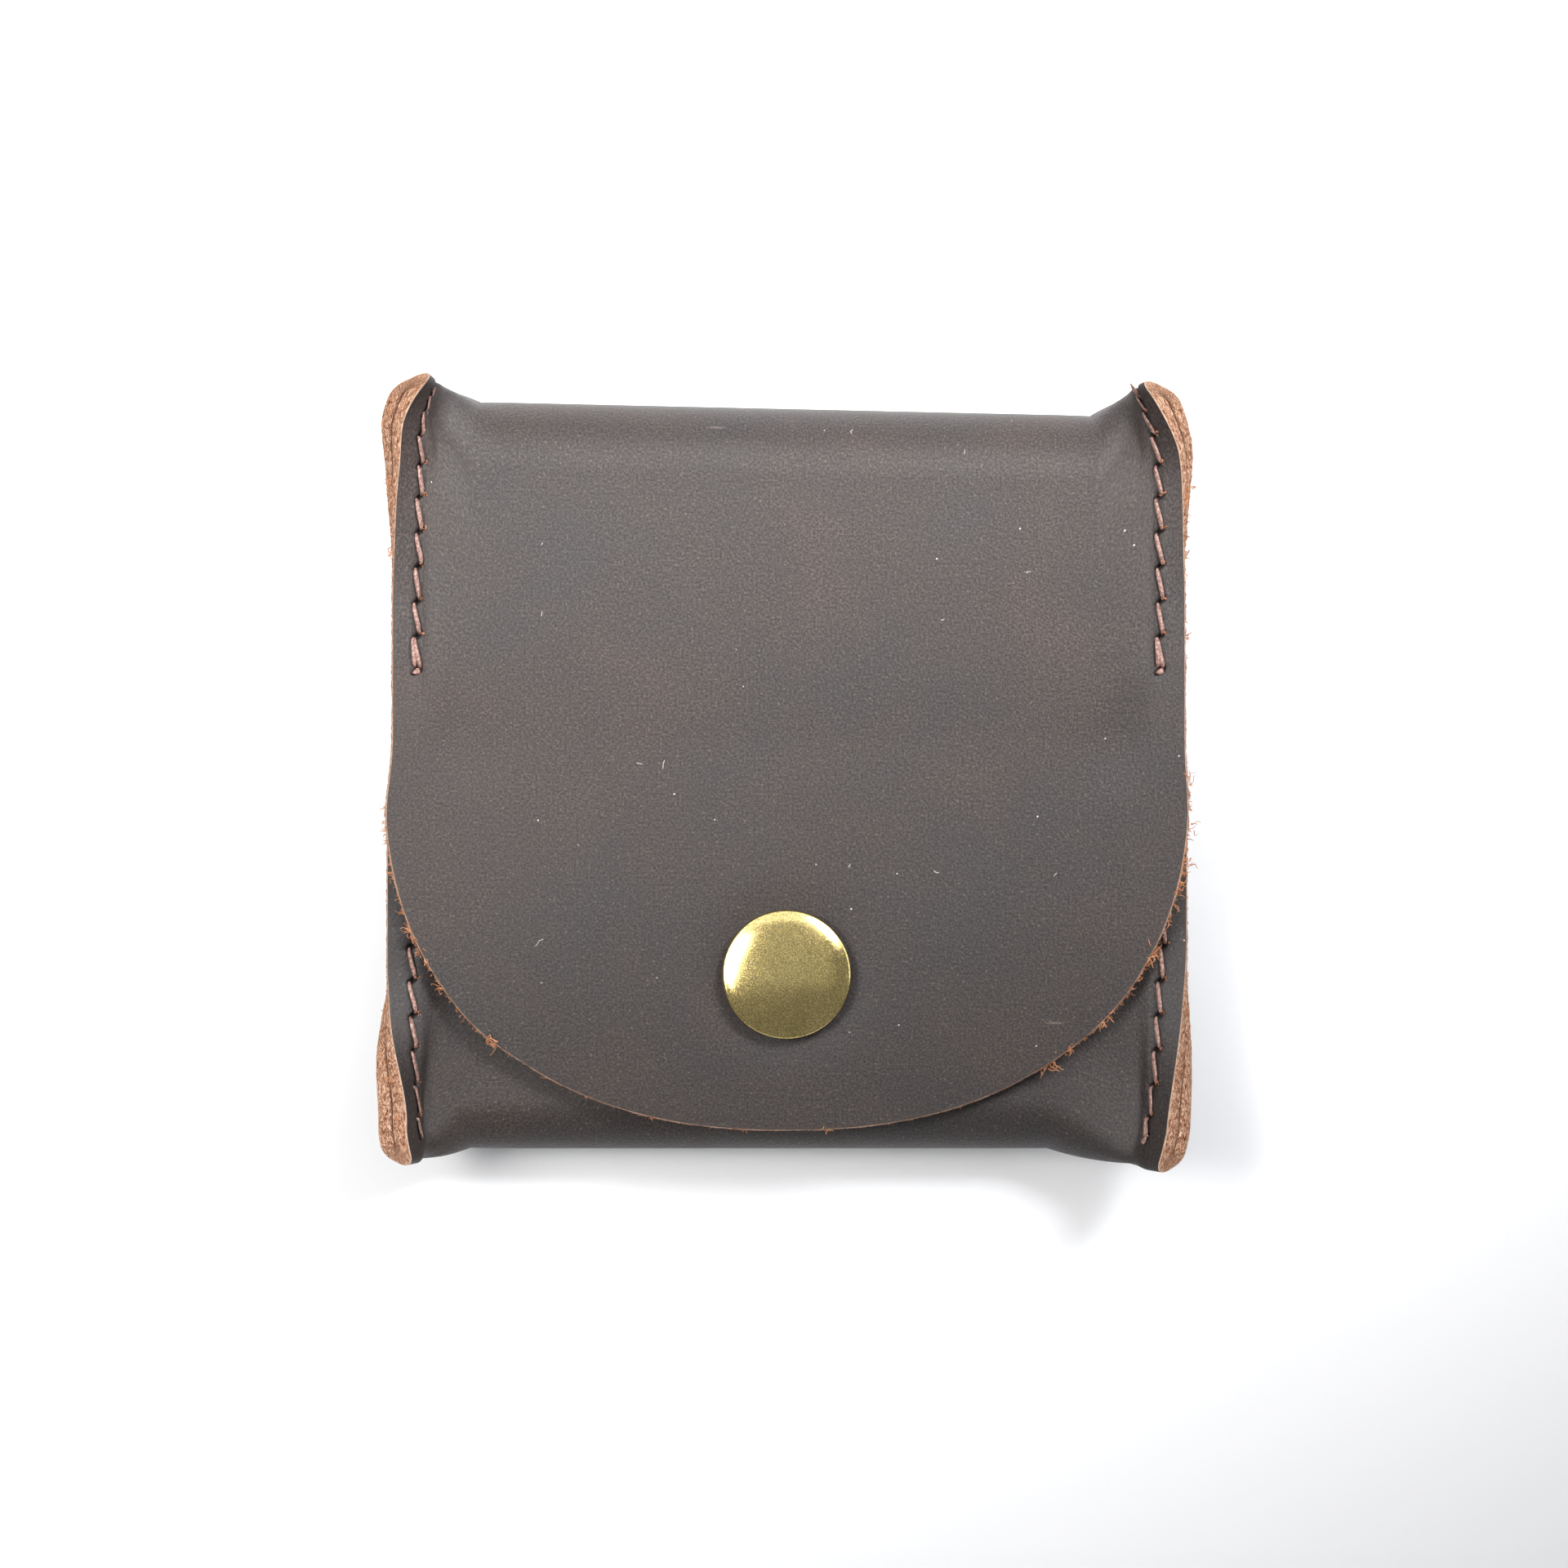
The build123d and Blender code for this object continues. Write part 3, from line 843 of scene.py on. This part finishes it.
def tufts(name, places, body, seed, material, share=1.0):
    """Clumps of loose fibres at places along a cut edge. A place is a point, a direction and a size."""
    local = np.random.default_rng(seed)
    parts = []
    for point, away, size in places:
        for _ in range(int(local.integers(5, 13) * share) + 1):
            start = point + local.normal(0, 0.16, 3) * (0.6 + size)
            heading = away + local.normal(0, 0.7, 3)
            length = size * local.uniform(0.35, 1.25)
            radius = local.uniform(0.035, 0.075)
            path = curl(local, start, heading, length, 0.55)
            parts.append(tube(path, radius * np.linspace(1.1, 0.5, len(path)), 6))
    points, faces = join_parts(parts)
    piece = make_mesh(name, settle(points), faces, materials=[material])
    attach(piece, body)
    return piece


def flap_tufts(loop, away):
    """Fibres left along the flap's cut edge: many on the sides, few at the round end."""
    local = np.random.default_rng(31)
    run = run_along(loop)
    places = []
    at = 0.0
    while at < run[-1]:
        i = int(np.searchsorted(run, at))
        x, y = loop[i]
        low_end = ease((-y - 27) / 12)
        if y < (-3.4 if x < 0 else 2.0) and local.uniform() > 0.75 * low_end:
            depth = local.uniform(0.2, leather)
            height = flap_height(x, y) + half - depth
            size = local.choice([0.55, 0.95, 1.5], p=[0.45, 0.37, 0.18]) * (1 - 0.35 * low_end)
            places.append((np.array([x, y, height]), np.array([away[i][0], away[i][1], 0.25]), size))
        at += local.uniform(0.4, 1.3)
    for x, y in ((29.9, -33.6), (30.6, -33.0), (45.4, -10.6), (44.9, -13.2)):
        i = int(np.argmin(np.hypot(loop[:, 0] - x, loop[:, 1] - y)))
        point = np.array([loop[i][0], loop[i][1], flap_height(loop[i][0], loop[i][1])])
        places.append((point, np.array([away[i][0], away[i][1], 0.4]), 1.7))
    piece = tufts("flap_tufts", places, "flap", 32, fibre)


def side_tufts():
    """A few fibres on the raw side edges and at the stitch holes."""
    local = np.random.default_rng(41)
    places = []
    for side, count, low, high in ((-1, 14, 16, 44), (1, 26, 12, 36), (-1, 8, -44, -24), (1, 14, -44, -2)):
        for _ in range(count):
            y = local.uniform(low, high)
            z = seam_z + local.uniform(-1.5, 1.5)
            point = np.array([side * (edge_x + 0.12), y, z])
            size = local.choice([0.35, 0.6, 1.1], p=[0.5, 0.35, 0.15])
            places.append((point, np.array([side, 0.2, 0.3]), size))
    for side in (-1, 1):
        for holes in (upper_holes, lower_holes):
            for hole in holes[1:-1]:
                beside = side * stitch_line(hole, side) + 0.55
                point = np.array([beside, hole + 0.3, seam_z + leather + 0.12])
                places.append((point, np.array([0.8, 0.5, 0.2]), 0.3))
    piece = tufts("side_tufts", places, "case", 42, fibre, 0.6)


def lint():
    """Small pale hairs lying on the upper front and the flap."""
    thin = 0.026
    snap_clear = 9
    patches = (("front_lint", "case", 16, 40, 51), ("flap_lint", "flap", -30, 4, 52))
    for name, body, low, high, seed in patches:
        local = np.random.default_rng(seed)
        parts = []
        for _ in range(6):
            x = local.uniform(-32, 32)
            y = local.uniform(low, high)
            if math.hypot(x - snap_x, y - snap_y) < snap_clear:
                continue
            level = front_height(y, 1.0) if body == "case" else flap_height(x, y)
            start = np.array([x, y, level + half + 0.03])
            heading = [local.normal(), local.normal(), 0]
            path = np.array(curl(local, start, heading, local.uniform(0.5, 1.5), 0.5))
            path[:, 2] = start[2]
            parts.append(tube(path, np.full(len(path), thin), 6))
        points, faces = join_parts(parts)
        piece = make_mesh(name, settle(points), faces, materials=[pale])
        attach(piece, body)


def lathe(name, profile, centre, material, segments=128):
    """A turned piece from a closed list of (radius, height)."""
    profile = np.asarray(profile, float)
    angle = np.linspace(0, math.tau, segments, endpoint=False)
    rings = []
    for r, z in profile:
        x = centre[0] + r * np.cos(angle)
        y = centre[1] + r * np.sin(angle)
        rings.append(np.stack([x, y, np.full(segments, z)], axis=-1))
    points = np.array(rings).reshape(-1, 3)
    quads = grid_faces(len(profile), segments, 0, False, closed=True)
    return make_mesh(name, points, quads, materials=[material])


def rounded(points, radius, steps=4):
    """A closed profile with its corners rounded."""
    points = [np.array(p, float) for p in points]
    result = []
    for i, p in enumerate(points):
        a, b = points[i - 1], points[(i + 1) % len(points)]
        da, db = a - p, b - p
        la, lb = np.linalg.norm(da), np.linalg.norm(db)
        cut_back = min(radius, 0.45 * la, 0.45 * lb)
        s, e = p + da / la * cut_back, p + db / lb * cut_back
        for t in np.linspace(0, 1, steps + 1):
            result.append((1 - t) ** 2 * s + 2 * t * (1 - t) * p + t ** 2 * e)
    return result


def snap_cap(centre):
    """Domed brass cap with a rolled rim. Its shank goes through the flap and is spread in the socket."""
    seat = crown - 0.75                 # the leather is pressed down around the snap
    rim = cap_high[0] - snap_x
    top = cap_high[2] - 0.15
    turn_in = 0.34
    profile = []
    for t in np.linspace(0.0, 1.0, 48):
        profile.append((max((rim - turn_in) * t, 0.001), top - 0.84 * t ** 2 - 0.1 * t ** 12))
    edge_z = profile[-1][1]
    slope = math.radians(76)            # how the rolled rim sets out from the dome
    for bend in np.radians(np.linspace(72, -90, 18)):
        out = turn_in * (math.cos(bend) - math.cos(slope)) / (1 - math.cos(slope))
        up = turn_in * (math.sin(bend) - math.sin(slope))
        profile.append((rim - turn_in + out, edge_z + up))
    profile += [(rim - 1.2, seat - 0.3), (2.2, seat - 0.3), (1.7, seat - 0.6)]
    low = socket_high[2]
    profile += [(1.7, low - 0.5), (2.4, low - 0.62), (2.55, low - 0.8)]
    profile += [(2.3, low - 0.92), (0.9, low - 0.85), (0.001, low - 0.3)]
    cap = lathe("snap_cap_brass", profile, centre, brass)
    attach(cap, "flap")
    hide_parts("snap_cap")


def snap_socket(centre):
    """Hollow brass socket under the flap, open below."""
    top, low = socket_high[2], socket_low[2]
    wide = socket_high[0] - snap_x
    wall = wide - 0.45
    shell = [(1.75, top), (wide - 0.3, top), (wide, top - 0.5), (wide, low + 0.4)]
    shell += [(wide - 0.3, low), (3.4, low), (3.4, low + 0.4), (wide - 0.8, low + 0.4)]
    shell += [(wall, low + 0.8), (wall, top - 0.7), (wide - 0.8, top - 0.4), (1.75, top - 0.4)]
    shell = rounded(shell, 0.25)
    socket = lathe("snap_socket_brass", shell + shell[:1], centre, brass, 96)
    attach(socket, "flap")
    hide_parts("snap_socket")


def snap_spring():
    """Open ring of spring wire inside the socket."""
    count = 90
    wire = 0.33
    gap = math.radians(12)
    angle = np.linspace(-math.pi / 2 + gap, 1.5 * math.pi - gap, count)
    ring = (spring_high[0] - snap_x) - 0.35
    height = (spring_low[2] + spring_high[2]) / 2
    x = snap_x + ring * np.cos(angle)
    y = snap_y + ring * np.sin(angle)
    points, faces = tube(np.stack([x, y, np.full(count, height)], axis=-1), np.full(count, wire), 12)
    spring = make_mesh("snap_spring_wire", points, faces, materials=[steel])
    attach(spring, "flap")
    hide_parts("snap_spring")


def snap_stud(centre):
    """Brass stud on the pocket, with a waist under its head."""
    base, high = stud_low[2], stud_high[2]
    body = [(1.75, base), (4.6, base), (4.8, base + 0.2), (4.6, base + 0.4), (3.0, base + 0.45)]
    body += [(2.5, base + 0.9), (2.75, base + 1.35), (3.0, base + 1.75)]
    body += [(2.9, high - 0.3), (2.5, high), (2.1, high), (1.75, high - 0.3)]
    body = rounded(body, 0.3)
    stud = lathe("snap_stud_brass", body + body[:1], centre, brass, 96)
    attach(stud, "case")
    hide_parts("snap_stud")


def snap_post(centre):
    """Eyelet post that holds the stud: a flange inside the pocket and a barrel through the leather."""
    under, high = stud_low[2] - leather, stud_high[2]
    barrel = [(1.2, under - 0.4), (4.5, under - 0.4), (4.8, under - 0.2), (4.7, under)]
    barrel += [(1.7, under), (1.7, high - 0.4), (1.2, high - 0.4)]
    barrel = rounded(barrel, 0.2)
    post = lathe("snap_post_brass", barrel + barrel[:1], centre, brass, 96)
    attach(post, "case")
    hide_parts("snap_post")


def snap_pieces():
    """Cap, socket and spring on the flap, stud and post on the pocket."""
    centre = (snap_x, snap_y)
    snap_cap(centre)
    snap_socket(centre)
    snap_spring()
    snap_stud(centre)
    snap_post(centre)


def softbox(name, place, target, size, power, colour, spread=180, roll=0):
    """Rectangular light at place, facing target. Spread and roll are in degrees."""
    light = bpy.data.lights.new(name, "AREA")
    light.shape = "RECTANGLE"
    light.size, light.size_y = size
    light.energy = power
    light.color = colour
    light.spread = math.radians(spread)
    holder = bpy.data.objects.new(name, light)
    holder.location = place
    holder.rotation_euler = (Vector(target) - Vector(place)).to_track_quat("-Z", "Y").to_euler()
    holder.rotation_euler.rotate_axis("Z", math.radians(roll))
    bpy.context.scene.collection.objects.link(holder)


def set_stage():
    """Pale floor, soft studio lights and world. Places here are in metres."""
    bpy.ops.mesh.primitive_plane_add(size=3.0, location=(0, 0, 0))
    floor = bpy.context.object
    floor.name = "floor"
    material, add = node_setup("floor_white")
    surface(add, {"Base Color": (0.775, 0.775, 0.785, 1), "Roughness": 0.7, "Specular IOR Level": 0.2})
    floor.data.materials.append(material)

    warm, cool = (1.0, 0.99, 0.97), (0.98, 0.99, 1.0)
    softbox("key_left", (-0.24, 0.125, 0.42), (-0.01, 0.10, 0), (0.4, 0.2), 0.34, warm, 40, -24)
    softbox("key_right", (0.25, 0.28, 0.42), (0.01, 0.10, 0), (0.2, 0.2), 0.34, cool, 36)
    softbox("side_left", (-0.46, 0.26, 0.42), (0, 0, 0), (0.5, 0.34), 0.5, warm)
    softbox("side_right", (0.52, 0.10, 0.32), (0, 0, 0), (0.4, 0.3), 0.85, cool)
    softbox("overhead", (0.0, 0.46, 0.46), (0, 0.1, 0), (0.9, 0.5), 2.0, cool)
    softbox("top_panel", (0.0, 0.19, 0.75), (0, 0.19, 0), (0.6, 0.62), 0.33, cool)
    softbox("front_fill", (0.0, -0.55, 0.17), (0, 0, 0.01), (0.9, 0.1), 0.35, cool)

    world = bpy.data.worlds.new("studio")
    world.use_nodes = True
    background = world.node_tree.nodes["Background"]
    background.inputs["Color"].default_value = (0.96, 0.97, 1.0, 1)
    background.inputs["Strength"].default_value = 0.27
    bpy.context.scene.world = world
    bpy.context.scene.view_settings.view_transform = "Standard"


def set_camera():
    """A long lens straight above the case. Its picture is as wide as view_width at middle_z."""
    lens = bpy.data.cameras.new("camera")
    lens.lens = 100
    lens.sensor_width = 36
    eye = bpy.data.objects.new("camera", lens)
    view_width = 182.9
    middle_z = 14.0
    height = middle_z + lens.lens / lens.sensor_width * view_width
    eye.location = (-0.3 * MM, -1.2 * MM, height * MM)
    eye.rotation_euler = (0, 0, 0)
    bpy.context.scene.collection.objects.link(eye)
    bpy.context.scene.camera = eye


case_strip()
flap_loop, flap_away = flap_leather()
threads()
flap_tufts(flap_loop, flap_away)
side_tufts()
lint()
snap_pieces()
set_stage()
set_camera()
